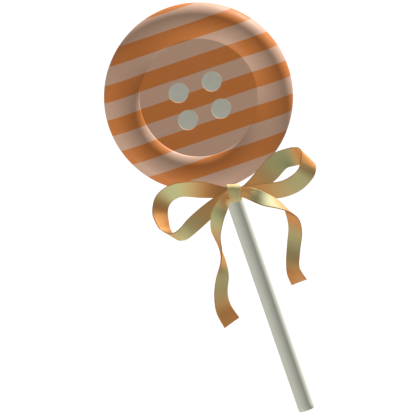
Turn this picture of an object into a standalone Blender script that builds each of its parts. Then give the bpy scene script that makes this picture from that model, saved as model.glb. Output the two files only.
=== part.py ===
"""Button-shaped lollipop: a striped candy disc with four cream dots, a paper stick and a ribbon bow.

It lies on its back with the shown side up (+Z) and the stick along -Y. The origin is on the floor
under the middle of the outline. Names ending in _MM and the ribbon stations are in millimetres,
everything else is in metres.
"""
import math

import bmesh
import bpy
from mathutils import Vector

MM = 0.001
GAP = 0.3 * MM

# Candy disc: a rounded rim round a thinner web, alike in front and behind
DISC_RADIUS = 35.0 * MM
RIM_CREST_RADIUS = 28.1 * MM
RIM_INNER_HALF_WIDTH = 7.4 * MM
RIM_HALF_THICKNESS = 6.5 * MM
REST_FLAT = 0.15 * MM
WEB_RADIUS = 21.9 * MM
WEB_HALF_THICKNESS = 3.1 * MM
WEB_FILLET = 0.3 * MM
DISC_SIDES = 88
RIM_SIDES = 22
FILLET_SIDES = 2

# Four cream dots set a little way down four round holes
HOLE_RADIUS = 3.7 * MM
HOLE_HALF_SPACING = (6.45 * MM, 5.3 * MM)
HOLES_BELOW_CENTRE = 1.2 * MM
HOLE_SIDES = 40
DOT_RADIUS = HOLE_RADIUS - GAP
DOT_RECESS = 1.3 * MM
DOT_HALF_THICKNESS = WEB_HALF_THICKNESS - DOT_RECESS
DOT_BEVEL = 0.2 * MM

# Rolled paper stick, glued into a blind bore in the rim
STICK_RADIUS = 3.05 * MM
STICK_END = 123.55 * MM
BORE_DEPTH = 10.5 * MM
STICK_SIDES = 40
STICK_BEVEL = 0.25 * MM

# Satin ribbon
RIBBON_THICKNESS = 0.4 * MM
STEPS_PER_STATION = 5

# Each station is a line across the ribbon: x, y, z of one edge, then x, y, z of the other. x and y
# are measured from the disc's centre, z from the floor.
LEFT_LOOP = [
    (-4.4, -32.35, 12.3, -6.8, -36.95, 10.7),
    (-9, -29.55, 13.7, -11.8, -35.15, 10.3),
    (-15.7, -27.25, 14.2, -17.1, -32.85, 10.2),
    (-21.5, -26.85, 13.5, -20.1, -32.65, 9.7),
    (-27.1, -29.25, 11.9, -22.9, -33.85, 8.5),
    (-30.2, -34.55, 12.4, -24.6, -36.15, 8.4),
    (-29.9, -39.75, 14.4, -25.5, -39.55, 8.8),
    (-28.9, -41.55, 14.9, -25.9, -42.95, 8.5),
    (-27.5, -43.05, 14.4, -24.8, -47.15, 8),
    (-25, -43.95, 13.7, -22.9, -48.25, 7.9),
    (-22.1, -42.95, 13.6, -20.7, -48.15, 9),
    (-18.4, -40.75, 13.7, -16, -46.35, 10.1),
    (-12.3, -38.25, 13.3, -10.1, -43.85, 9.7),
    (-7, -36.65, 12.4, -5, -41.45, 10.4),
]
RIGHT_LOOP = [
    (8.2, -36.75, 11.9, 6.2, -41.55, 10.7),
    (13.3, -37.95, 12.5, 11.5, -43.95, 9.1),
    (18.6, -38.95, 12.6, 18.4, -45.35, 9.4),
    (22.8, -38.35, 12.5, 24.8, -44.75, 10.1),
    (25.7, -36.95, 13, 30, -42.05, 11),
    (27.2, -35.05, 13.5, 32.1, -39.55, 11.2),
    (29, -31.55, 11.8, 32.6, -37.35, 9.7),
    (28.8, -29.65, 10.4, 30.9, -36.45, 7.8),
    (27.1, -28.85, 10.3, 28, -36.05, 7.8),
    (25.1, -28.45, 10.4, 25.3, -35.75, 8),
    (19.3, -28.55, 10.3, 22, -35.55, 9.1),
    (13.8, -31.25, 10.5, 17.1, -38.15, 9.3),
    (9.7, -33.55, 10.6, 11.7, -39.85, 9.6),
    (6.7, -35.25, 10.9, 7.3, -40.25, 10.3),
]
LEFT_TAIL = [
    (-12.5, -83.25, 0.7, -19.1, -85.05, 2.1),
    (-14, -77.45, 0.9, -20, -78.45, 4.7),
    (-13.5, -72.55, 1.1, -18.7, -71.95, 5.9),
    (-11, -66.45, 1.9, -16, -66.05, 6.9),
    (-10.4, -59.45, 4, -12.8, -61.25, 10.4),
    (-11.2, -53.55, 6.3, -10.6, -56.35, 12.9),
    (-11.7, -47.75, 9, -9.3, -50.75, 15),
    (-9.7, -42.05, 11.4, -6.3, -45.45, 16.6),
    (-7, -39.05, 12.8, -3.4, -42.05, 15.2),
]
RIGHT_TAIL = [
    (8.4, -38.25, 12.9, 5.2, -41.65, 14.9),
    (11.7, -41.25, 12, 9.1, -44.85, 17.2),
    (14.4, -44.35, 10.2, 14.2, -47.95, 16.2),
    (16.3, -47.75, 8.1, 17.7, -50.75, 14.3),
    (16.4, -52.35, 6.1, 20.2, -54.75, 11.7),
    (15.7, -57.05, 4.4, 19.7, -60.05, 9.4),
    (13.3, -62.85, 2.6, 17.1, -65.85, 7.8),
    (10.8, -69.15, 1, 14.8, -71.55, 6.4),
    (9.6, -73.95, 0.7, 15, -74.55, 5.3),
    (9.9, -78.25, 0.6, 15.9, -77.65, 4.2),
]

# Inside the knot the strips lie flat and gathered, one above another
FAR_PASS = [
    (4, -36.15, 11.4, 3.6, -39.85, 11.2),
    (1.3, -35.35, 11.3, 0.3, -39.15, 11.3),
    (-1.4, -34.35, 11.4, -3, -38.15, 11.2),
]
NEAR_PASS = [
    (-2.7, -35.75, 12.1, -1.7, -39.75, 11.9),
    (0.9, -35.45, 12, 0.7, -39.45, 12),
    (4.3, -36.05, 12.1, 3.3, -39.85, 11.9),
]
TAIL_PASS = [
    (-3.1, -36.25, 12.7, -1.2, -39.35, 12.8),
    (0.9, -35.65, 12.8, 0.7, -39.45, 12.8),
    (4.5, -36.45, 12.7, 3.1, -40.05, 12.9),
]

# Knot: a band folded round the strips, taller on its left side than on its right
KNOT_LEFT_X = -1.3 * MM
KNOT_RIGHT_X = 3.2 * MM
KNOT_LEFT_Y = (-40.7 * MM, -33.65 * MM)
KNOT_RIGHT_Y = (-40.95 * MM, -35.25 * MM)
KNOT_BOTTOM = 9.7 * MM
KNOT_TOP = 14.6 * MM
KNOT_BACK_NARROWING = (0.5 * MM, 1.6 * MM)
KNOT_LEFT_SLANT = 0.2 * MM
KNOT_RIGHT_SLANT = 0.65 * MM
KNOT_SIDES = 32
KNOT_SQUARENESS = 2.5
KNOT_BACK_SQUARENESS = 5.0

# Tie: the band that holds the bow on the stick, passing through the back of the knot
TIE_WIDTH = 2.6 * MM
TIE_CENTRE_Y = -37.85 * MM
TIE_TOP = 10.6 * MM
TIE_SIDES = 40
TIE_SQUARENESS = 5.0

DISC_Z = RIM_HALF_THICKNESS - REST_FLAT
DISC_Y = (STICK_END - DISC_RADIUS) / 2


def clear_scene():
    for item in list(bpy.data.objects):
        bpy.data.objects.remove(item)


def srgb(red, green, blue):
    """Turn a 0 to 255 screen colour into the linear colour that a material takes."""
    def linear(value):
        value = value / 255
        if value <= 0.04045:
            return value / 12.92
        return ((value + 0.055) / 1.055) ** 2.4
    return (linear(red), linear(green), linear(blue), 1.0)


def make_material(name, colour, roughness):
    material = bpy.data.materials.new(name)
    material.use_nodes = True
    shader = material.node_tree.nodes["Principled BSDF"]
    shader.inputs["Base Color"].default_value = colour
    shader.inputs["Roughness"].default_value = roughness
    shader.inputs["Metallic"].default_value = 0.0
    material.diffuse_color = colour
    return material


def finish_mesh(name, shape, material, location=(0, 0, 0), sharp_degrees=35):
    """Write a bmesh to a named object with smooth shading and its own material."""
    bmesh.ops.recalc_face_normals(shape, faces=shape.faces)
    mesh = bpy.data.meshes.new(name)
    shape.to_mesh(mesh)
    shape.free()
    mesh.shade_smooth()
    mesh.set_sharp_from_angle(angle=math.radians(sharp_degrees))
    mesh.materials.append(material)
    item = bpy.data.objects.new(name, mesh)
    item.location = location
    bpy.context.scene.collection.objects.link(item)
    return item


def cylinder(radius, length, sides):
    """A closed cylinder along Z, centred on the origin."""
    shape = bmesh.new()
    bmesh.ops.create_cone(
        shape, cap_ends=True, segments=sides, radius1=radius, radius2=radius, depth=length)
    return shape


def skin(name, rails, closed, material):
    """Close a body round four rails, which are equally long lists of points.

    A closed body runs round to its own start, and an open one gets a cap at each end.
    """
    shape = bmesh.new()
    rows = [[shape.verts.new(point) for point in rail] for rail in rails]
    count = len(rows[0])
    steps = count if closed else count - 1
    for side in range(len(rows)):
        here = rows[side]
        there = rows[(side + 1) % len(rows)]
        for step in range(steps):
            after = (step + 1) % count
            shape.faces.new((here[step], here[after], there[after], there[step]))
    if not closed:
        shape.faces.new([row[0] for row in rows])
        shape.faces.new([row[-1] for row in rows])
    bmesh.ops.triangulate(shape, faces=shape.faces)
    return finish_mesh(name, shape, material, sharp_degrees=50)


def disc_profile():
    """Half section of the disc as radius and height, from the front centre to the back centre."""
    corner = Vector((WEB_RADIUS, WEB_HALF_THICKNESS))
    web_edge = corner - Vector((WEB_FILLET, 0))
    wall_foot = corner + Vector((0, WEB_FILLET))
    start = math.acos((WEB_RADIUS - RIM_CREST_RADIUS) / RIM_INNER_HALF_WIDTH)

    def rim_point(angle):
        out = math.cos(angle)
        width = DISC_RADIUS - RIM_CREST_RADIUS if out > 0 else RIM_INNER_HALF_WIDTH
        return Vector((RIM_CREST_RADIUS + width * out, RIM_HALF_THICKNESS * math.sin(angle)))

    front = [Vector((0, WEB_HALF_THICKNESS))]
    for step in range(FILLET_SIDES):
        part = step / FILLET_SIDES
        front.append(
            web_edge * (1 - part) ** 2 + corner * 2 * part * (1 - part) + wall_foot * part ** 2)
    front.append(wall_foot)
    for step in range(RIM_SIDES // 2):
        front.append(rim_point(start * (1 - step / (RIM_SIDES // 2))))
    back = [Vector((point.x, max(-point.y, -DISC_Z))) for point in reversed(front)]
    return front + [rim_point(0)] + back


def make_cutter(name, shape, location, turn=0.0):
    """A hidden guide body that a Boolean takes away."""
    mesh = bpy.data.meshes.new(name)
    shape.to_mesh(mesh)
    shape.free()
    cutter = bpy.data.objects.new(name, mesh)
    cutter.location = location
    cutter.rotation_euler = (turn, 0, 0)
    cutter.hide_render = True
    cutter.display_type = "WIRE"
    bpy.context.scene.collection.objects.link(cutter)
    return cutter


def cut(item, cutter):
    boolean = item.modifiers.new(cutter.name, "BOOLEAN")
    boolean.operation = "DIFFERENCE"
    boolean.object = cutter


def hole_places():
    """Centres of the four holes, row by row, from the disc's centre."""
    across, along = HOLE_HALF_SPACING
    for row in (1, -1):
        for column in (-1, 1):
            yield column * across, row * along - HOLES_BELOW_CENTRE


def make_disc(material):
    shape = bmesh.new()
    points = [shape.verts.new((radius, 0, height)) for radius, height in disc_profile()]
    edges = [shape.edges.new(pair) for pair in zip(points, points[1:])]
    bmesh.ops.spin(
        shape, geom=points + edges, axis=(0, 0, 1), cent=(0, 0, 0), angle=2 * math.pi,
        steps=DISC_SIDES, use_merge=True)
    bmesh.ops.remove_doubles(shape, verts=shape.verts, dist=0.00001)
    disc = finish_mesh("candy_disc", shape, material, (0, DISC_Y, DISC_Z))

    for number, (x, y) in enumerate(hole_places(), 1):
        hole = cylinder(HOLE_RADIUS, 4 * WEB_HALF_THICKNESS, HOLE_SIDES)
        cut(disc, make_cutter(f"hole_cutter_{number}", hole, (x, DISC_Y + y, DISC_Z)))
    bore = cylinder(STICK_RADIUS + GAP, 2 * BORE_DEPTH, STICK_SIDES)
    mouth = (0, DISC_Y - DISC_RADIUS, DISC_Z)
    cut(disc, make_cutter("bore_cutter", bore, mouth, math.radians(90)))
    return disc


def make_dots(material):
    for number, (x, y) in enumerate(hole_places(), 1):
        shape = cylinder(DOT_RADIUS, 2 * DOT_HALF_THICKNESS, HOLE_SIDES)
        dot = finish_mesh(f"cream_dot_{number}", shape, material, (x, DISC_Y + y, DISC_Z))
        add_bevel(dot, DOT_BEVEL)


def add_bevel(item, width):
    bevel = item.modifiers.new("edge", "BEVEL")
    bevel.width = width
    bevel.segments = 2
    bevel.limit_method = "ANGLE"
    bevel.angle_limit = math.radians(60)


def make_stick(material):
    start = DISC_RADIUS - BORE_DEPTH + GAP
    length = STICK_END - start
    shape = cylinder(STICK_RADIUS, length, STICK_SIDES)
    stick = finish_mesh("stick", shape, material, (0, DISC_Y - start - length / 2, DISC_Z))
    stick.rotation_euler = (math.radians(90), 0, 0)
    add_bevel(stick, STICK_BEVEL)


def blend(before, start, end, after, part):
    """One value of a Catmull-Rom curve between start and end."""
    slope = end - before
    bend = 2 * before - 5 * start + 4 * end - after
    twist = 3 * start - before - 3 * end + after
    return 0.5 * (2 * start + slope * part + bend * part ** 2 + twist * part ** 3)


def smooth_stations(stations, closed):
    """Stations along a smooth curve through the given ones, STEPS_PER_STATION to each."""
    count = len(stations)
    if closed:
        near = [[stations[(index + shift) % count] for shift in (-1, 0, 1, 2)]
                for index in range(count)]
    else:
        near = [[stations[min(max(index + shift, 0), count - 1)] for shift in (-1, 0, 1, 2)]
                for index in range(count - 1)]
    smooth = []
    for four in near:
        for step in range(STEPS_PER_STATION):
            part = step / STEPS_PER_STATION
            smooth.append([blend(*values, part) for values in zip(*four)])
    if not closed:
        smooth.append(list(stations[-1]))
    return smooth


def ribbon_rails(stations, closed):
    """The four long edges of a ribbon that follows the stations, as lists of points."""
    smooth = smooth_stations(stations, closed)
    count = len(smooth)
    edges = [[Vector(values[:3]), Vector(values[3:])] for values in smooth]
    places = [(first + second) / 2 for first, second in edges]
    rails = [[], [], [], []]
    for index, (first, second) in enumerate(edges):
        if closed:
            along = places[(index + 1) % count] - places[index - 1]
        else:
            along = places[min(index + 1, count - 1)] - places[max(index - 1, 0)]
        out = along.cross(first - second).normalized() * RIBBON_THICKNESS / MM / 2
        for rail, corner in zip(rails, (first + out, first - out, second - out, second + out)):
            rail.append(corner * MM + Vector((0, DISC_Y, 0)))
    return rails


def make_loops(material):
    """One endless band: back through the knot, round the left loop, forward, round the right."""
    stations = FAR_PASS + LEFT_LOOP + NEAR_PASS + RIGHT_LOOP
    return skin("ribbon_loops", ribbon_rails(stations, True), True, material)


def make_tails(material):
    stations = LEFT_TAIL + TAIL_PASS + RIGHT_TAIL
    return skin("ribbon_tails", ribbon_rails(stations, False), False, material)


def round_square(angle, squareness):
    """A point of a rounded square of half size 1."""
    across = math.cos(angle)
    up = math.sin(angle)
    power = 2 / squareness
    return (math.copysign(abs(across) ** power, across), math.copysign(abs(up) ** power, up))


def knot_rail(right, inset):
    """One of the knot's four edges: its left or right end, inset by the band's thickness or not."""
    low, high = KNOT_RIGHT_Y if right else KNOT_LEFT_Y
    middle = DISC_Y + (low + high) / 2
    reach = (high - low) / 2 - inset
    rise = (KNOT_TOP - KNOT_BOTTOM) / 2 - inset
    rail = []
    for step in range(KNOT_SIDES):
        angle = 2 * math.pi * step / KNOT_SIDES
        over = math.sin(angle) > 0
        along, up = round_square(angle, KNOT_SQUARENESS if over else KNOT_BACK_SQUARENESS)
        backness = max(0, -up)
        if right:
            x = KNOT_RIGHT_X + KNOT_RIGHT_SLANT * along - KNOT_BACK_NARROWING[1] * backness
        else:
            x = KNOT_LEFT_X + KNOT_LEFT_SLANT * along + KNOT_BACK_NARROWING[0] * backness
        rail.append((x, middle + reach * along, (KNOT_TOP + KNOT_BOTTOM) / 2 + rise * up))
    return rail


def make_knot(material):
    thick = RIBBON_THICKNESS
    rails = [knot_rail(False, 0), knot_rail(True, 0), knot_rail(True, thick), knot_rail(False, thick)]
    return skin("ribbon_knot", rails, True, material)


def tie_rail(side, inset):
    """One of the tie's four edges: half round under the stick, square where it meets the knot."""
    reach = STICK_RADIUS + GAP + RIBBON_THICKNESS - inset
    rise = TIE_TOP + RIBBON_THICKNESS / 2 - inset - DISC_Z
    y = DISC_Y + TIE_CENTRE_Y + side * TIE_WIDTH / 2
    rail = []
    for step in range(TIE_SIDES):
        angle = 2 * math.pi * step / TIE_SIDES
        over = math.sin(angle) > 0
        across, up = round_square(angle, TIE_SQUARENESS if over else 2)
        rail.append((reach * across, y, DISC_Z + (rise if over else reach) * up))
    return rail


def make_tie(material):
    thick = RIBBON_THICKNESS
    rails = [tie_rail(-1, 0), tie_rail(1, 0), tie_rail(1, thick), tie_rail(-1, thick)]
    return skin("ribbon_tie", rails, True, material)


def main():
    clear_scene()
    candy = make_material("candy", srgb(196, 112, 58), 0.25)
    cream = make_material("cream_candy", srgb(206, 205, 188), 0.3)
    paper = make_material("rolled_paper", srgb(222, 222, 206), 0.6)
    satin = make_material("satin", srgb(196, 142, 86), 0.4)
    make_disc(candy)
    make_dots(cream)
    make_stick(paper)
    make_loops(satin)
    make_tails(satin)
    make_knot(satin)
    make_tie(satin)


main()
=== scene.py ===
"""Looks of the button-shaped lollipop: striped candy, cream dots, a paper stick and a satin bow.

Everything is in metres in the frame of the part, except names ending in _MM and the ribbon stations,
which are in millimetres.
"""
import math

import bmesh
import bpy
from mathutils import Matrix, Vector


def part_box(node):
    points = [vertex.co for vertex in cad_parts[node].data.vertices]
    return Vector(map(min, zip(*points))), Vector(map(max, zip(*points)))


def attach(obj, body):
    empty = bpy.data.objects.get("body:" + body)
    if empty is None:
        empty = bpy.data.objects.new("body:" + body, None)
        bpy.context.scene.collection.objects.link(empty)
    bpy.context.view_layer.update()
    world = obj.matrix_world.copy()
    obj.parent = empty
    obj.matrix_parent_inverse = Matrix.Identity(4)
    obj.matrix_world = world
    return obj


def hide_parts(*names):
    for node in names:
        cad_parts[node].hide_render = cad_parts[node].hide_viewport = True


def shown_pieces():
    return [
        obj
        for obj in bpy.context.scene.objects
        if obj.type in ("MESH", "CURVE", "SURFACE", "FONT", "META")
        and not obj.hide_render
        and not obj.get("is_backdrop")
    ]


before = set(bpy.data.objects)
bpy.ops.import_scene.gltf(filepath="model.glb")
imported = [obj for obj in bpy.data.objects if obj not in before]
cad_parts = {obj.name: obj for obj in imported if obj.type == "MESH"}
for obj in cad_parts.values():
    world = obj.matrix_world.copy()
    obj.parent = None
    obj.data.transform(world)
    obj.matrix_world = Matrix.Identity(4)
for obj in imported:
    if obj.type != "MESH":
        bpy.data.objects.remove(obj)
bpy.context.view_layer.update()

MM = 0.001

# Where the camera stood: its tilt from straight down, and how far the picture is turned
VIEW_TILT = math.radians(5.25)
VIEW_TURN = math.radians(19.16)
PICTURE_WIDTH = 155.4 * MM
PICTURE_CENTRE = (-9.72 * MM, -40.86 * MM)
LENS_MM = 300.0
SENSOR_MM = 36.0
CLIP_START = 0.05
CLIP_END = 20.0

# Suns: the angle in the picture from its right towards its top, the height above the picture's plane,
# and the strength
KEY_SUN = (63, -17, 5.1)
FILL_SUN = (241, 13, 1.45)
SUN_SOFTNESS = 8
WORLD_STRENGTH = 0.35

# Floor and backdrop, which show most of their white as their own light
STAGE_GLOW = 0.97
FLOOR_REACH = 3.0
FLOOR_HEIGHT = -0.05 * MM
BACKDROP_RADIUS = 8.0
BACKDROP_SIDES = 48

# Colours as screen values from 0 to 255. A pair holds the two that a material varies between.
ORANGE_CANDY = ((214, 126, 60), (222, 136, 69))
PEACH_CANDY = ((214, 172, 145), (222, 182, 156))
CANDY_CLOUD = (236, 190, 160)
CREAM_CANDY = ((214, 214, 198), (219, 219, 204))
PAPER = ((214, 214, 198), (226, 226, 211))
PAPER_MOTTLE = (208, 206, 187)
PAPER_END = ((158, 154, 136), (208, 208, 194))
SATIN = ((243, 166, 92), (243, 242, 172))
SATIN_THREAD = (244, 214, 160)
SELVEDGE_ORANGE = (240, 160, 84)
# A brown painted on the ribbon's rounded cut edge as the shade on its thickness
CUT_EDGE_PAINTED_SHADE = (158, 104, 60)
FLOOR_GREY = ((150, 150, 150), (156, 156, 156))
BLACK = (0.0, 0.0, 0.0, 1.0)
WHITE = (1.0, 1.0, 1.0, 1.0)

# Shares of a colour that is laid over another
CLOUD_SHARE = 0.03
THREAD_SHARE = 0.10
SELVEDGE_SHARE = 0.35

# Shading: edges that bend more than so many degrees are sharp, and a face whose normal's Z is above
# LEVEL is flat
SHARP_DEGREES = 40
RIBBON_SHARP_DEGREES = 60
LEVEL = 0.99999

# Points of a mesh that are nearer than this become one
MERGE = 0.001 * MM

# Candy disc, as in the part
RIM_CREST_RADIUS = 28.1 * MM
RIM_INNER_HALF_WIDTH = 7.4 * MM
RIM_HALF_THICKNESS = 6.5 * MM
WEB_RADIUS = 21.9 * MM
WEB_HALF_THICKNESS = 3.1 * MM
WEB_FILLET = 0.3 * MM
WEB_BORDER = 0.2 * MM
DISC_SIDES = 256
RIM_SIDES = 64
FILLET_SIDES = 8
HOLE_RADIUS = 3.7 * MM
HOLE_LIP = 0.15 * MM
HOLE_SIDES = 96
LIP_SIDES = 6

# Stripes of the candy, measured across them
STRIPE_TURN = math.radians(-0.45)
STRIPE_PERIOD = 12.3 * MM
ORANGE_WIDTH = 6.04 * MM
ORANGE_MIDDLE = -0.32 * MM
STRIPE_BLUR = 0.12 * MM
STRIPE_WOBBLE = 0.1 * MM

# Cream dots
DOT_DOME = 0.06 * MM
DOT_EDGE = 0.15 * MM
DOT_DOME_STEPS = 8
DOT_EDGE_STEPS = 6

# Rolled paper stick. BEVEL_MIDDLE is how far the bevel's middle row is set in, as a share of the bevel.
STICK_SIDES = 160
STICK_ROWS = 60
SEAM_STEP = 0.09 * MM
SEAM_ANGLE = math.radians(215)
STICK_BEVEL = 0.25 * MM
BEVEL_MIDDLE = 0.3
PAPER_LAYER = 0.34 * MM

# Satin ribbon
RIBBON_WIDTH = 7.1 * MM
RIBBON_THICKNESS = 0.4 * MM
STEPS_PER_STATION = 14
COLUMNS = 16
COLUMN_CROWDING = 0.75
CAMBER = 0.10 * MM
PLEAT_DEPTH = 0.22 * MM
PLEATS = 2.5
RIBBON_DATA = ("along", "across", "yellow", "painted_shading", "edge")

# Places across the ribbon, from its middle, 0, to its edge, 1: where it starts to round off, where the
# orange of the selvedge fades in, and where the painted brown shade on the cut edge does
ROUNDING = 0.94
SELVEDGE_FADE = (0.86, 0.94)
CUT_EDGE_SHADE_FADE = (0.975, 0.99)

# Each station is a line across the ribbon: x, y, z of one edge, then x, y, z of the other. x and y
# are measured from the disc's centre, z from the floor.
LEFT_LOOP = [
    (-4.4, -32.35, 12.3, -6.8, -36.95, 10.7),
    (-9, -29.55, 13.7, -11.8, -35.15, 10.3),
    (-15.7, -27.25, 14.2, -17.1, -32.85, 10.2),
    (-21.5, -26.85, 13.5, -20.1, -32.65, 9.7),
    (-27.1, -29.25, 11.9, -22.9, -33.85, 8.5),
    (-30.2, -34.55, 12.4, -24.6, -36.15, 8.4),
    (-29.9, -39.75, 14.4, -25.5, -39.55, 8.8),
    (-28.9, -41.55, 14.9, -25.9, -42.95, 8.5),
    (-27.5, -43.05, 14.4, -24.8, -47.15, 8),
    (-25, -43.95, 13.7, -22.9, -48.25, 7.9),
    (-22.1, -42.95, 13.6, -20.7, -48.15, 9),
    (-18.4, -40.75, 13.7, -16, -46.35, 10.1),
    (-12.3, -38.25, 13.3, -10.1, -43.85, 9.7),
    (-7, -36.65, 12.4, -5, -41.45, 10.4),
]
RIGHT_LOOP = [
    (8.2, -36.75, 11.9, 6.2, -41.55, 10.7),
    (13.3, -37.95, 12.5, 11.5, -43.95, 9.1),
    (18.6, -38.95, 12.6, 18.4, -45.35, 9.4),
    (22.8, -38.35, 12.5, 24.8, -44.75, 10.1),
    (25.7, -36.95, 13, 30, -42.05, 11),
    (27.2, -35.05, 13.5, 32.1, -39.55, 11.2),
    (29, -31.55, 11.8, 32.6, -37.35, 9.7),
    (28.8, -29.65, 10.4, 30.9, -36.45, 7.8),
    (27.1, -28.85, 10.3, 28, -36.05, 7.8),
    (25.1, -28.45, 10.4, 25.3, -35.75, 8),
    (19.3, -28.55, 10.3, 22, -35.55, 9.1),
    (13.8, -31.25, 10.5, 17.1, -38.15, 9.3),
    (9.7, -33.55, 10.6, 11.7, -39.85, 9.6),
    (6.7, -35.25, 10.9, 7.3, -40.25, 10.3),
]
LEFT_TAIL = [
    (-12.5, -83.25, 0.7, -19.1, -85.05, 2.1),
    (-14, -77.45, 0.9, -20, -78.45, 4.7),
    (-13.5, -72.55, 1.1, -18.7, -71.95, 5.9),
    (-11, -66.45, 1.9, -16, -66.05, 6.9),
    (-10.4, -59.45, 4, -12.8, -61.25, 10.4),
    (-11.2, -53.55, 6.3, -10.6, -56.35, 12.9),
    (-11.7, -47.75, 9, -9.3, -50.75, 15),
    (-9.7, -42.05, 11.4, -6.3, -45.45, 16.6),
    (-7, -39.05, 12.8, -3.4, -42.05, 15.2),
]
RIGHT_TAIL = [
    (8.4, -38.25, 12.9, 5.2, -41.65, 14.9),
    (11.7, -41.25, 12, 9.1, -44.85, 17.2),
    (14.4, -44.35, 10.2, 14.2, -47.95, 16.2),
    (16.3, -47.75, 8.1, 17.7, -50.75, 14.3),
    (16.4, -52.35, 6.1, 20.2, -54.75, 11.7),
    (15.7, -57.05, 4.4, 19.7, -60.05, 9.4),
    (13.3, -62.85, 2.6, 17.1, -65.85, 7.8),
    (10.8, -69.15, 1, 14.8, -71.55, 6.4),
    (9.6, -73.95, 0.7, 15, -74.55, 5.3),
    (9.9, -78.25, 0.6, 15.9, -77.65, 4.2),
]
FAR_PASS = [
    (4, -36.15, 11.4, 3.6, -39.85, 11.2),
    (1.3, -35.35, 11.3, 0.3, -39.15, 11.3),
    (-1.4, -34.35, 11.4, -3, -38.15, 11.2),
]
NEAR_PASS = [
    (-2.7, -35.75, 12.1, -1.7, -39.75, 11.9),
    (0.9, -35.45, 12, 0.7, -39.45, 12),
    (4.3, -36.05, 12.1, 3.3, -39.85, 11.9),
]
TAIL_PASS = [
    (-3.1, -36.25, 12.7, -1.2, -39.35, 12.8),
    (0.9, -35.65, 12.8, 0.7, -39.45, 12.8),
    (4.5, -36.45, 12.7, 3.1, -40.05, 12.9),
]

# The satin's dye runs from orange, 0, to yellow, 1, and back. Each stop is a station along the ribbon,
# and the dye there.
LOOP_DYE = [
    (3.3, 0), (6.0, 1), (8.0, 0), (9.8, 0), (13.0, 0.85), (15.8, 0.1), (20.5, 0.1), (23.4, 0.85),
    (25.9, 0), (27.9, 0), (29.7, 1), (32.3, 0.1),
]
TAIL_DYE = [
    (0.4, 0), (2.9, 0.8), (4.1, 0), (5.2, 0), (7.0, 1), (9.0, 0.1), (11.0, 0.05), (13.0, 1), (15.4, 0),
    (16.1, 0), (17.7, 0.82), (20.0, 0),
]
KNOT_DYE = [(0.3, 0.6), (1.5, 0.85), (3.0, 0.7), (5.5, 0.8)]
TIE_DYE = [(0, 0.3)]

# Painted light and shade on the satin at each station, from 0, black, to 1, the full dye: darker where
# the ribbon should lie in shade, as in the gathers by the knot
LOOP_PAINTED_SHADING = [
    (0, 0.7), (2.6, 0.5), (4.8, 0.9), (6.0, 0.82), (7.2, 0.69), (8.1, 1), (8.7, 0.92), (9.8, 0.92),
    (10.4, 0.55), (11.0, 0.78), (12.0, 0.88), (13.0, 0.78), (13.8, 0.58), (15.8, 0.66), (20.5, 0.8),
    (22.0, 0.8), (23.5, 0.72), (24.5, 0.47), (25.1, 1), (28.2, 0.98), (29.6, 0.55), (31.0, 0.68),
    (32.5, 0.92),
]
TAIL_PAINTED_SHADING = [
    (0.5, 1), (2.8, 1), (3.3, 0.92), (4.0, 0.88), (4.5, 0.62), (5.0, 0.77), (6.2, 0.82), (7.3, 0.61),
    (8.4, 1), (11.8, 1), (12.5, 0.32), (13.6, 0.68), (15.0, 0.72), (15.4, 0.46), (16.0, 0.83),
    (17.0, 0.68), (18.5, 0.39), (19.5, 0.63), (20.5, 0.75),
]
KNOT_PAINTED_SHADING = [(0.3, 1), (1.3, 0.78), (3.0, 0.8), (5.5, 0.8)]
TIE_PAINTED_SHADING = [(0, 0.8)]

# Knot and tie, as in the part
KNOT_LEFT_X = -1.3 * MM
KNOT_RIGHT_X = 3.2 * MM
KNOT_LEFT_Y = (-40.7 * MM, -33.65 * MM)
KNOT_RIGHT_Y = (-40.95 * MM, -35.25 * MM)
KNOT_BOTTOM = 9.7 * MM
KNOT_TOP = 14.6 * MM
KNOT_BACK_NARROWING = (0.5 * MM, 1.6 * MM)
KNOT_LEFT_SLANT = 0.2 * MM
KNOT_RIGHT_SLANT = 0.65 * MM
KNOT_SIDES = 120
KNOT_SQUARENESS = 2.5
KNOT_BACK_SQUARENESS = 5.0
TIE_WIDTH = 2.6 * MM
TIE_CENTRE_Y = -37.85 * MM
TIE_TOP = 10.6 * MM
TIE_SIDES = 120
TIE_SQUARENESS = 5.0
TIE_BACK_SQUARENESS = 2.0
STICK_GAP = 0.3 * MM

# How far to either side of a point of a band its direction is taken, in radians
BAND_LOOK = 0.02

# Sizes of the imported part
DISC_LOW, DISC_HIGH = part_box("candy_disc")
DISC_RADIUS = (DISC_HIGH.x - DISC_LOW.x) / 2
DISC_Y = (DISC_LOW.y + DISC_HIGH.y) / 2
DISC_Z = DISC_HIGH.z - RIM_HALF_THICKNESS
STICK_LOW, STICK_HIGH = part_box("stick")
STICK_RADIUS = (STICK_HIGH.x - STICK_LOW.x) / 2


# Materials

def srgb(red, green, blue):
    """Turn a 0 to 255 screen colour into the linear colour that a material takes."""
    def linear(value):
        value = value / 255
        if value <= 0.04045:
            return value / 12.92
        return ((value + 0.055) / 1.055) ** 2.4
    return (linear(red), linear(green), linear(blue), 1.0)


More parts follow.
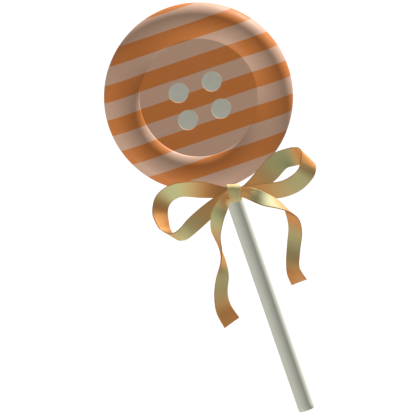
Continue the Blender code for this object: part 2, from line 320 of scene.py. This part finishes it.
class Graph:
    """A material's nodes, made one at a time."""

    # Sockets of a Mix node that mixes colours
    MIX_FIRST = 6
    MIX_SECOND = 7
    MIX_RESULT = 2

    def __init__(self, name, roughness, **sockets):
        self.material = bpy.data.materials.new(name)
        self.material.use_nodes = True
        self.tree = self.material.node_tree
        self.shader = self.tree.nodes["Principled BSDF"]
        self.shader.inputs["Roughness"].default_value = roughness
        for socket, value in sockets.items():
            self.shader.inputs[socket.replace("_", " ")].default_value = value

    def plug(self, value, socket):
        if isinstance(value, bpy.types.NodeSocket):
            self.tree.links.new(value, socket)
        else:
            socket.default_value = value

    def node(self, kind, output, **inputs):
        made = self.tree.nodes.new(kind)
        for name, value in inputs.items():
            self.plug(value, made.inputs[name.replace("_", " ")])
        return made.outputs[output]

    def attribute(self, name):
        made = self.tree.nodes.new("ShaderNodeAttribute")
        made.attribute_name = name
        return made.outputs["Fac"]

    def math(self, operation, *values):
        made = self.tree.nodes.new("ShaderNodeMath")
        made.operation = operation
        for index, value in enumerate(values):
            self.plug(value, made.inputs[index])
        return made.outputs[0]

    def mix(self, factor, first, second):
        made = self.tree.nodes.new("ShaderNodeMix")
        made.data_type = "RGBA"
        self.plug(factor, made.inputs["Factor"])
        self.plug(first, made.inputs[self.MIX_FIRST])
        self.plug(second, made.inputs[self.MIX_SECOND])
        return made.outputs[self.MIX_RESULT]

    def between(self, factor, pair):
        """A colour between the two screen colours of a pair."""
        return self.mix(factor, srgb(*pair[0]), srgb(*pair[1]))

    def place(self):
        """The point on the object, in its own coordinates."""
        return self.node("ShaderNodeTexCoord", "Object")

    def split(self, vector):
        """The X, Y and Z of a vector."""
        made = self.tree.nodes.new("ShaderNodeSeparateXYZ")
        self.plug(vector, made.inputs[0])
        return made.outputs

    def stretched(self, vector, scale, turn=(0, 0, 0)):
        return self.node("ShaderNodeMapping", "Vector", Vector=vector, Scale=scale, Rotation=turn)

    def noise(self, vector, scale, detail=2.0, roughness=0.5):
        return self.node(
            "ShaderNodeTexNoise", "Fac", Vector=vector, Scale=scale, Detail=detail, Roughness=roughness)

    def ramp(self, value, low, high, to_low=0.0, to_high=1.0):
        """Carry low to high over to to_low to to_high, easing at both ends."""
        made = self.tree.nodes.new("ShaderNodeMapRange")
        made.interpolation_type = "SMOOTHSTEP"
        self.plug(value, made.inputs["Value"])
        for name, number in (
                ("From Min", low), ("From Max", high), ("To Min", to_low), ("To Max", to_high)):
            self.plug(number, made.inputs[name])
        return made.outputs["Result"]

    def bump(self, height, distance, strength=1.0, under=None):
        made = self.tree.nodes.new("ShaderNodeBump")
        made.inputs["Strength"].default_value = strength
        made.inputs["Distance"].default_value = distance
        self.plug(height, made.inputs["Height"])
        if under is not None:
            self.plug(under, made.inputs["Normal"])
        return made.outputs["Normal"]

    def finish(self, colour, normal=None, roughness=None):
        self.plug(colour, self.shader.inputs["Base Color"])
        if normal is not None:
            self.plug(normal, self.shader.inputs["Normal"])
        if roughness is not None:
            self.plug(roughness, self.shader.inputs["Roughness"])
        return self.material


def stripe_origin():
    """The turned y of the middle of the middle orange stripe."""
    turned = Matrix.Rotation(-STRIPE_TURN, 2) @ Vector((0, DISC_Y))
    return turned.y + ORANGE_MIDDLE


def peachness(graph, turned):
    """0 in the orange stripes and 1 in the peach ones, with slightly uneven borders."""
    wobble = graph.math("SUBTRACT", graph.noise(turned, 180.0), 0.5)
    wobble = graph.math("MULTIPLY", wobble, STRIPE_WOBBLE)
    across = graph.math("ADD", graph.split(turned)["Y"], wobble)
    shifted = graph.math("SUBTRACT", across, stripe_origin())
    wrapped = graph.math("WRAP", shifted, STRIPE_PERIOD / 2, -STRIPE_PERIOD / 2)
    away = graph.math("ABSOLUTE", wrapped)
    border = ORANGE_WIDTH / 2
    return graph.ramp(away, border - STRIPE_BLUR / 2, border + STRIPE_BLUR / 2)


def candy_material():
    """Hard candy in straight stripes, with faint pulled streaks and clouds and a soft shine."""
    graph = Graph("striped_candy", 0.5, Specular_IOR_Level=0.15)
    place = graph.place()
    turned = graph.stretched(place, (1, 1, 1), (0, 0, -STRIPE_TURN))
    streaks = graph.noise(graph.stretched(turned, (60, 900, 900)), 1.0, 3.0)
    orange = graph.between(streaks, ORANGE_CANDY)
    peach = graph.between(streaks, PEACH_CANDY)
    colour = graph.mix(peachness(graph, turned), orange, peach)
    cloud = graph.ramp(graph.noise(place, 160.0, 4.0), 0.35, 0.7)
    colour = graph.mix(graph.math("MULTIPLY", cloud, CLOUD_SHARE), colour, srgb(*CANDY_CLOUD))
    normal = graph.bump(graph.noise(place, 420.0, 3.0), 0.03 * MM, 0.25)
    roughness = graph.ramp(graph.noise(place, 260.0, 3.0), 0.3, 0.7, 0.46, 0.56)
    return graph.finish(colour, normal, roughness)


def cream_material():
    graph = Graph("cream_candy", 0.5, Specular_IOR_Level=0.15)
    place = graph.place()
    cloud = graph.ramp(graph.noise(place, 420.0, 4.0), 0.3, 0.7)
    normal = graph.bump(graph.noise(place, 600.0, 3.0), 0.03 * MM, 0.3)
    return graph.finish(graph.between(cloud, CREAM_CANDY), normal)


def paper_material():
    """Tightly rolled paper, with fine fibres along the stick."""
    graph = Graph("rolled_paper", 0.55)
    place = graph.place()
    fibres = graph.noise(graph.stretched(place, (1600, 160, 1600)), 1.0, 4.0, 0.6)
    mottle = graph.ramp(graph.noise(place, 240.0, 3.0), 0.45, 0.75, 0.0, 0.25)
    colour = graph.mix(mottle, graph.between(fibres, PAPER), srgb(*PAPER_MOTTLE))
    return graph.finish(colour, graph.bump(fibres, 0.02 * MM, 0.35))


def paper_end_material():
    """The stick's cut end, where the rolled layers show as a spiral."""
    graph = Graph("rolled_paper_end", 0.7)
    centred = graph.node(
        "ShaderNodeMapping", "Vector", Vector=graph.place(), Location=(0, 0, -DISC_Z))
    axes = graph.split(centred)
    squares = [graph.math("MULTIPLY", axes[name], axes[name]) for name in ("X", "Z")]
    radius = graph.math("SQRT", graph.math("ADD", *squares))
    turn = graph.math("DIVIDE", graph.math("ARCTAN2", axes["Z"], axes["X"]), 2 * math.pi)
    layer = graph.math("SUBTRACT", graph.math("DIVIDE", radius, PAPER_LAYER), turn)
    seam = graph.ramp(graph.math("PINGPONG", layer, 0.5), 0.02, 0.22)
    return graph.finish(graph.between(seam, PAPER_END), graph.bump(seam, 0.05 * MM, 0.8))


def satin_material():
    """Satin dyed from orange to yellow along the ribbon, with painted light and shade, an orange
    selvedge and a cut edge of painted brown shade.
    """
    graph = Graph("satin_ribbon", 0.5, Specular_IOR_Level=0.12)
    along, across, yellow, painted_shading, edge = (graph.attribute(name) for name in RIBBON_DATA)
    thread = graph.node("ShaderNodeCombineXYZ", "Vector", X=along, Y=across)
    warp = graph.noise(graph.stretched(thread, (90, 5200, 1)), 1.0, 2.0)
    weft = graph.noise(graph.stretched(thread, (2600, 300, 1)), 1.0, 2.0)
    dye = graph.between(yellow, SATIN)
    dye = graph.mix(graph.math("MULTIPLY", warp, THREAD_SHARE), dye, srgb(*SATIN_THREAD))
    # Painted light and shade: the dye is darkened towards black wherever the ribbon should lie in shade
    dye = graph.mix(painted_shading, BLACK, dye)
    selvedge = graph.math("MULTIPLY", graph.ramp(edge, *SELVEDGE_FADE), SELVEDGE_SHARE)
    colour = graph.mix(selvedge, dye, srgb(*SELVEDGE_ORANGE))
    # Painted shade: the rounded cut edge of the ribbon is turned brown
    colour = graph.mix(graph.ramp(edge, *CUT_EDGE_SHADE_FADE), colour, srgb(*CUT_EDGE_PAINTED_SHADE))
    normal = graph.bump(warp, 0.03 * MM, 0.5)
    normal = graph.bump(weft, 0.02 * MM, 0.4, normal)
    return graph.finish(colour, normal)


def floor_material():
    """A pale light table: most of its white is its own light, so that shadows on it stay faint."""
    graph = Graph("floor", 0.9, Emission_Color=WHITE, Emission_Strength=STAGE_GLOW)
    return graph.finish(graph.between(graph.noise(graph.place(), 3.0), FLOOR_GREY))


def backdrop_material():
    graph = Graph("backdrop", 1.0, Emission_Color=WHITE, Emission_Strength=STAGE_GLOW,
                  Specular_IOR_Level=0.0)
    return graph.finish(BLACK)


# Pieces

def add_piece(name, mesh, materials, slot, *nodes):
    """Put a mesh in the scene as a piece that rides on the part and stands for CAD nodes."""
    for material in materials:
        mesh.materials.append(material)
    item = bpy.data.objects.new(name, mesh)
    # The pieces pass no bounced light to each other
    item.visible_diffuse = False
    bpy.context.scene.collection.objects.link(item)
    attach(item, "root")
    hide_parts(*nodes)
    return item


def shade(mesh, sharp_degrees):
    mesh.shade_smooth()
    mesh.set_sharp_from_angle(angle=math.radians(sharp_degrees))


def to_mesh(name, shape, sharp_degrees=SHARP_DEGREES):
    bmesh.ops.recalc_face_normals(shape, faces=shape.faces)
    mesh = bpy.data.meshes.new(name)
    shape.to_mesh(mesh)
    shape.free()
    shade(mesh, sharp_degrees)
    return mesh


def lathe(points, sides):
    """Turn a profile of (radius, height) points round Z into a closed body."""
    shape = bmesh.new()
    verts = [shape.verts.new((radius, 0, height)) for radius, height in points]
    edges = [shape.edges.new(pair) for pair in zip(verts, verts[1:])]
    bmesh.ops.spin(
        shape, geom=verts + edges, axis=(0, 0, 1), cent=(0, 0, 0), angle=2 * math.pi,
        steps=sides, use_merge=True)
    bmesh.ops.remove_doubles(shape, verts=shape.verts, dist=MERGE)
    bmesh.ops.recalc_face_normals(shape, faces=shape.faces)
    return shape


def disc_profile():
    """Half section of the disc as radius and height, from the front centre to the back centre."""
    corner = Vector((WEB_RADIUS, WEB_HALF_THICKNESS))
    web_edge = corner - Vector((WEB_FILLET, 0))
    wall_foot = corner + Vector((0, WEB_FILLET))
    start = math.acos((WEB_RADIUS - RIM_CREST_RADIUS) / RIM_INNER_HALF_WIDTH)

    def rim_point(angle):
        out = math.cos(angle)
        width = DISC_RADIUS - RIM_CREST_RADIUS if out > 0 else RIM_INNER_HALF_WIDTH
        return Vector((RIM_CREST_RADIUS + width * out, RIM_HALF_THICKNESS * math.sin(angle)))

    front = [Vector((0, WEB_HALF_THICKNESS)), web_edge - Vector((WEB_BORDER, 0))]
    for step in range(FILLET_SIDES):
        part = step / FILLET_SIDES
        front.append(
            web_edge * (1 - part) ** 2 + corner * 2 * part * (1 - part) + wall_foot * part ** 2)
    front.append(wall_foot)
    for step in range(RIM_SIDES // 2):
        front.append(rim_point(start * (1 - step / (RIM_SIDES // 2))))
    back = [Vector((point.x, max(-point.y, -DISC_Z))) for point in reversed(front)]
    return front + [rim_point(0)] + back


def hole_cutter_profile():
    """A spool: a straight hole whose mouths flare into rounded lips at both faces of the web."""
    reach = 2 * WEB_HALF_THICKNESS
    lip = [Vector((0, reach)), Vector((HOLE_RADIUS + HOLE_LIP, reach))]
    for step in range(LIP_SIDES + 1):
        angle = math.pi / 2 * step / LIP_SIDES
        radius = HOLE_RADIUS + HOLE_LIP * (1 - math.sin(angle))
        lip.append(Vector((radius, WEB_HALF_THICKNESS - HOLE_LIP * (1 - math.cos(angle)))))
    back = [Vector((point.x, -point.y)) for point in reversed(lip)]
    return lip + back


def bore_profile():
    """The stick's bore, from deep inside the rim out to its mouth."""
    depth = STICK_HIGH.y - DISC_LOW.y
    return [Vector((0, depth)), Vector((STICK_RADIUS, depth)), Vector((STICK_RADIUS, -depth)),
            Vector((0, -depth))]


def placed(shape, matrix):
    mesh = bpy.data.meshes.new("cutter")
    shape.transform(matrix)
    shape.to_mesh(mesh)
    shape.free()
    return bpy.data.objects.new("cutter", mesh)


def cut_away(mesh, cutters):
    """The mesh less the cutters, as a new mesh."""
    body = bpy.data.objects.new("body", mesh)
    scene = bpy.context.scene
    scene.collection.objects.link(body)
    for cutter in cutters:
        scene.collection.objects.link(cutter)
        boolean = body.modifiers.new("cut", "BOOLEAN")
        boolean.operation = "DIFFERENCE"
        boolean.object = cutter
    graph = bpy.context.evaluated_depsgraph_get()
    done = bpy.data.meshes.new_from_object(body.evaluated_get(graph))
    for item in [body, *cutters]:
        bpy.data.objects.remove(item)
    return done


def middle(node):
    low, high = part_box(node)
    return (low + high) / 2


def make_candy():
    shape = lathe(disc_profile(), DISC_SIDES)
    shape.transform(Matrix.Translation((0, DISC_Y, DISC_Z)))
    whole = to_mesh("candy", shape)
    cutters = []
    for number in range(1, 5):
        place = Matrix.Translation(middle(f"cream_dot_{number}"))
        cutters.append(placed(lathe(hole_cutter_profile(), HOLE_SIDES), place))
    mouth = Matrix.Translation((0, DISC_LOW.y, DISC_Z)) @ Matrix.Rotation(math.radians(-90), 4, "X")
    cutters.append(placed(lathe(bore_profile(), STICK_SIDES), mouth))
    mesh = cut_away(whole, cutters)
    shade(mesh, SHARP_DEGREES)
    for face in mesh.polygons:
        face.use_smooth = abs(face.normal.z) < LEVEL
    item = add_piece("candy", mesh, [candy_material()], "striped_candy", "candy_disc")
    weighted = item.modifiers.new("even", "WEIGHTED_NORMAL")
    weighted.keep_sharp = True


def dot_profile(half_thickness):
    """A shallow dome with a rounded edge, alike in front and behind."""
    front = []
    for step in range(DOT_DOME_STEPS + 1):
        part = step / DOT_DOME_STEPS
        reach = (HOLE_RADIUS - DOT_EDGE) * part
        front.append(Vector((reach, half_thickness - DOT_DOME * part ** 2)))
    for step in range(1, DOT_EDGE_STEPS + 1):
        angle = math.pi / 2 * step / DOT_EDGE_STEPS
        front.append(Vector((
            HOLE_RADIUS - DOT_EDGE * (1 - math.sin(angle)),
            half_thickness - DOT_DOME - DOT_EDGE * (1 - math.cos(angle)))))
    back = [Vector((point.x, -point.y)) for point in reversed(front)]
    return front + back


def make_dots():
    material = cream_material()
    for number in range(1, 5):
        node = f"cream_dot_{number}"
        low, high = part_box(node)
        shape = lathe(dot_profile((high.z - low.z) / 2), HOLE_SIDES)
        shape.transform(Matrix.Translation((low + high) / 2))
        add_piece(f"dot_{number}", to_mesh(node, shape), [material], "cream_candy", node)


def stick_ring(y, inset):
    """One cross-section of the rolled paper: the outer layer ends in a low step at the seam."""
    ring = []
    for step in range(STICK_SIDES + 1):
        part = step / STICK_SIDES
        angle = SEAM_ANGLE + 2 * math.pi * part
        radius = STICK_RADIUS - SEAM_STEP * (1 - part) - inset
        ring.append(Vector((radius * math.cos(angle), y, DISC_Z + radius * math.sin(angle))))
    return ring


def join_rings(shape, rings, closed):
    """Faces from each ring of points to the next, and from the last to the first where closed."""
    following = rings[1:] + rings[:1] if closed else rings[1:]
    for here, there in zip(rings, following):
        for side in range(len(here)):
            after = (side + 1) % len(here)
            shape.faces.new((here[side], here[after], there[after], there[side]))


def make_stick():
    low = STICK_LOW.y
    bulge = STICK_BEVEL * BEVEL_MIDDLE
    places = [(low, STICK_BEVEL), (low + bulge, bulge), (low + STICK_BEVEL, 0)]
    length = STICK_HIGH.y - low - STICK_BEVEL
    for row in range(1, STICK_ROWS + 1):
        places.append((low + STICK_BEVEL + length * row / STICK_ROWS, 0))
    shape = bmesh.new()
    rings = [[shape.verts.new(point) for point in stick_ring(y, inset)] for y, inset in places]
    join_rings(shape, rings, False)
    shape.faces.new(rings[0]).material_index = 1
    shape.faces.new(rings[-1])
    mesh = to_mesh("stick", shape)
    add_piece("rolled_stick", mesh, [paper_material(), paper_end_material()], "rolled_paper", "stick")


def blend(before, start, end, after, part):
    """One value of a Catmull-Rom curve between start and end."""
    slope = end - before
    bend = 2 * before - 5 * start + 4 * end - after
    twist = 3 * start - before - 3 * end + after
    return 0.5 * (2 * start + slope * part + bend * part ** 2 + twist * part ** 3)


def smooth_stations(stations, closed):
    """Stations along a smooth curve through the given ones, STEPS_PER_STATION to each."""
    count = len(stations)
    if closed:
        near = [[stations[(index + shift) % count] for shift in (-1, 0, 1, 2)]
                for index in range(count)]
    else:
        near = [[stations[min(max(index + shift, 0), count - 1)] for shift in (-1, 0, 1, 2)]
                for index in range(count - 1)]
    smooth = []
    for four in near:
        for step in range(STEPS_PER_STATION):
            part = step / STEPS_PER_STATION
            smooth.append([blend(*values, part) for values in zip(*four)])
    if not closed:
        smooth.append(list(stations[-1]))
    return smooth


def ribbon_rows(stations, closed):
    """The ribbon's middle, half width and outward direction at each step along it."""
    smooth = smooth_stations(stations, closed)
    count = len(smooth)
    edges = [[Vector(values[:3]) * MM, Vector(values[3:]) * MM] for values in smooth]
    places = [(first + second) / 2 + Vector((0, DISC_Y, 0)) for first, second in edges]
    rows = []
    for index, place in enumerate(places):
        half = (edges[index][0] - edges[index][1]) / 2
        if closed:
            along = places[(index + 1) % count] - places[index - 1]
        else:
            along = places[min(index + 1, count - 1)] - places[max(index - 1, 0)]
        rows.append((place, half, along.cross(half).normalized()))
    return rows


def lengths_along(rows):
    """Length of the middle line up to each row."""
    places = [row[0] for row in rows]
    lengths = [0.0]
    for here, there in zip(places, places[1:]):
        lengths.append(lengths[-1] + (there - here).length)
    return lengths


def eased(stops, station, count):
    """The value at a station, easing from stop to stop, and from the last round to the first."""
    around = [(stops[-1][0] - count, stops[-1][1]), *stops, (stops[0][0] + count, stops[0][1])]
    for (start, before), (end, after) in zip(around, around[1:]):
        if start <= station < end:
            part = (station - start) / (end - start)
            return before + (after - before) * part ** 2 * (3 - 2 * part)


def rows_eased(stops, rows):
    count = len(rows) / STEPS_PER_STATION
    return [eased(stops, index / STEPS_PER_STATION, count) for index in range(len(rows))]


def cross_section():
    """Columns across the ribbon as (place from -1 to 1, half thickness as a share)."""
    columns = []
    for step in range(COLUMNS + 1):
        place = -math.cos(math.pi * step / COLUMNS)
        place = math.copysign(abs(place) ** COLUMN_CROWDING, place)
        over = max(0.0, (abs(place) - ROUNDING) / (1 - ROUNDING))
        columns.append((place, math.sqrt(max(0.0, 1 - over ** 2))))
    return columns


def ribbon_lift(across, gathered):
    """How far the ribbon's middle layer stands out at a place across it: camber, and pleats."""
    camber = CAMBER * (1 - across ** 2)
    pleat = math.cos(math.pi * 2 * PLEATS * across) * (1 - across ** 4)
    return camber + PLEAT_DEPTH * gathered * pleat


def strip_mesh(name, rows, closed, dye, painted_shading):
    """A closed body of ribbon round its rows, with the data that its material reads."""
    columns = cross_section()
    sides = [(column, 1) for column in columns]
    sides += [(column, -1) for column in reversed(columns[1:-1])]
    shape = bmesh.new()
    layers = [shape.verts.layers.float.new(key) for key in RIBBON_DATA]
    # The painted light and shade goes into the ribbon's data along with the dye
    along_rows = zip(rows, lengths_along(rows), rows_eased(dye, rows), rows_eased(painted_shading, rows))
    rings = []
    for (place, half, out), length, yellow, painted_shading_here in along_rows:
        gathered = max(0.0, 1 - 2 * half.length / RIBBON_WIDTH)
        ring = []
        for (across, share), side in sides:
            lift = ribbon_lift(across, gathered) + side * share * RIBBON_THICKNESS / 2
            vert = shape.verts.new(place + half * across + out * lift)
            data = (length, across * RIBBON_WIDTH / 2, yellow, painted_shading_here, abs(across))
            for layer, value in zip(layers, data):
                vert[layer] = value
            ring.append(vert)
        rings.append(ring)
    join_rings(shape, rings, closed)
    if not closed:
        for ring in (rings[0], rings[-1]):
            shape.faces.new(ring)
    return to_mesh(name, shape, RIBBON_SHARP_DEGREES)


def make_ribbon(name, node, stations, closed, dye, painted_shading, material):
    mesh = strip_mesh(name, ribbon_rows(stations, closed), closed, dye, painted_shading)
    add_piece(name, mesh, [material], "satin_ribbon", node)


def round_square(angle, squareness):
    """A point of a rounded square of half size 1, which is a circle at a squareness of 2."""
    across = math.cos(angle)
    up = math.sin(angle)
    power = 2 / squareness
    return (math.copysign(abs(across) ** power, across), math.copysign(abs(up) ** power, up))


def knot_point(right, angle):
    low, high = KNOT_RIGHT_Y if right else KNOT_LEFT_Y
    reach = (high - low) / 2 - RIBBON_THICKNESS / 2
    rise = (KNOT_TOP - KNOT_BOTTOM) / 2 - RIBBON_THICKNESS / 2
    over = math.sin(angle) > 0
    along, up = round_square(angle, KNOT_SQUARENESS if over else KNOT_BACK_SQUARENESS)
    backness = max(0, -up)
    if right:
        x = KNOT_RIGHT_X + KNOT_RIGHT_SLANT * along - KNOT_BACK_NARROWING[1] * backness
    else:
        x = KNOT_LEFT_X + KNOT_LEFT_SLANT * along + KNOT_BACK_NARROWING[0] * backness
    y = DISC_Y + (low + high) / 2 + reach * along
    return Vector((x, y, (KNOT_TOP + KNOT_BOTTOM) / 2 + rise * up))


def tie_point(right, angle):
    reach = STICK_RADIUS + STICK_GAP + RIBBON_THICKNESS / 2
    rise = TIE_TOP - DISC_Z
    y = DISC_Y + TIE_CENTRE_Y + (1 if right else -1) * TIE_WIDTH / 2
    over = math.sin(angle) > 0
    across, up = round_square(angle, TIE_SQUARENESS if over else TIE_BACK_SQUARENESS)
    return Vector((reach * across, y, DISC_Z + (rise if over else reach) * up))


def band_rows(point, sides):
    """Rows of a band that is bent round, from a function that gives a point of either edge."""
    def ends(angle):
        return point(False, angle), point(True, angle)

    rows = []
    for step in range(sides):
        angle = 2 * math.pi * step / sides
        left, right = ends(angle)
        half = (right - left) / 2
        before = sum(ends(angle - BAND_LOOK), Vector())
        after = sum(ends(angle + BAND_LOOK), Vector())
        rows.append(((left + right) / 2, half, (after - before).cross(half).normalized()))
    return rows


def make_band(name, node, point, sides, dye, painted_shading, material):
    mesh = strip_mesh(name, band_rows(point, sides), True, dye, painted_shading)
    add_piece(name, mesh, [material], "satin_ribbon", node)


def make_bow():
    satin = satin_material()
    make_ribbon("bow_loops", "ribbon_loops", FAR_PASS + LEFT_LOOP + NEAR_PASS + RIGHT_LOOP, True,
                LOOP_DYE, LOOP_PAINTED_SHADING, satin)
    make_ribbon("bow_tails", "ribbon_tails", LEFT_TAIL + TAIL_PASS + RIGHT_TAIL, False,
                TAIL_DYE, TAIL_PAINTED_SHADING, satin)
    make_band("bow_knot", "ribbon_knot", knot_point, KNOT_SIDES, KNOT_DYE, KNOT_PAINTED_SHADING, satin)
    make_band("bow_tie", "ribbon_tie", tie_point, TIE_SIDES, TIE_DYE, TIE_PAINTED_SHADING, satin)


# Stage, light and camera

RIGHT_WAY = Vector((1, 0, 0))
UP_WAY = Vector((0, math.cos(VIEW_TILT), -math.sin(VIEW_TILT)))
CAMERA_WAY = Vector((0, math.sin(VIEW_TILT), math.cos(VIEW_TILT)))
PICTURE_RIGHT = RIGHT_WAY * math.cos(VIEW_TURN) - UP_WAY * math.sin(VIEW_TURN)
PICTURE_UP = RIGHT_WAY * math.sin(VIEW_TURN) + UP_WAY * math.cos(VIEW_TURN)


def make_camera():
    data = bpy.data.cameras.new("camera")
    data.lens = LENS_MM
    data.sensor_width = SENSOR_MM
    data.clip_start = CLIP_START
    data.clip_end = CLIP_END
    camera = bpy.data.objects.new("camera", data)
    target = Vector((0, DISC_Y, DISC_Z))
    target += RIGHT_WAY * PICTURE_CENTRE[0] + UP_WAY * PICTURE_CENTRE[1]
    distance = PICTURE_WIDTH * LENS_MM / SENSOR_MM
    turned = Matrix((PICTURE_RIGHT, PICTURE_UP, CAMERA_WAY)).transposed().to_4x4()
    camera.matrix_world = Matrix.Translation(target + CAMERA_WAY * distance) @ turned
    bpy.context.scene.collection.objects.link(camera)
    bpy.context.scene.camera = camera


def add_sun(name, picture_angle, height, strength, receivers):
    """A far soft light without shadows. picture_angle turns from the picture's right towards its top."""
    data = bpy.data.lights.new(name, "SUN")
    data.energy = strength
    data.angle = math.radians(SUN_SOFTNESS)
    data.use_shadow = False
    light = bpy.data.objects.new(name, data)
    turn = math.radians(picture_angle)
    level = PICTURE_RIGHT * math.cos(turn) + PICTURE_UP * math.sin(turn)
    lift = math.radians(height)
    way = level * math.cos(lift) + CAMERA_WAY * math.sin(lift)
    light.rotation_mode = "QUATERNION"
    light.rotation_quaternion = way.to_track_quat("Z", "Y")
    bpy.context.scene.collection.objects.link(light)
    light.light_linking.receiver_collection = receivers


def add_stage(name, shape, height, material):
    """A piece of the stage, which shows its own white and lights nothing."""
    item = bpy.data.objects.new(name, to_mesh(name, shape))
    item.location = (0, 0, height)
    item.data.materials.append(material)
    item.visible_diffuse = False
    item.visible_glossy = False
    material.cycles.emission_sampling = "NONE"
    bpy.context.scene.collection.objects.link(item)
    item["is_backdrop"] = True
    return item


def make_stage():
    ground = bmesh.new()
    bmesh.ops.create_grid(ground, x_segments=1, y_segments=1, size=FLOOR_REACH)
    add_stage("floor", ground, FLOOR_HEIGHT, floor_material())
    dome = bmesh.new()
    bmesh.ops.create_uvsphere(dome, radius=BACKDROP_RADIUS, u_segments=BACKDROP_SIDES,
                              v_segments=BACKDROP_SIDES // 2)
    backdrop = add_stage("backdrop", dome, 0, backdrop_material())
    backdrop.visible_shadow = False


def make_light():
    world = bpy.data.worlds.new("studio")
    bpy.context.scene.world = world
    world.use_nodes = True
    background = world.node_tree.nodes["Background"]
    background.inputs["Color"].default_value = WHITE
    background.inputs["Strength"].default_value = WORLD_STRENGTH
    treats = bpy.data.collections.new("lollipop")
    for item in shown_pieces():
        treats.objects.link(item)
    add_sun("key", *KEY_SUN, treats)
    add_sun("fill", *FILL_SUN, treats)


make_camera()
make_candy()
make_dots()
make_stick()
make_bow()
make_stage()
make_light()
bpy.context.scene.view_settings.view_transform = "Standard"
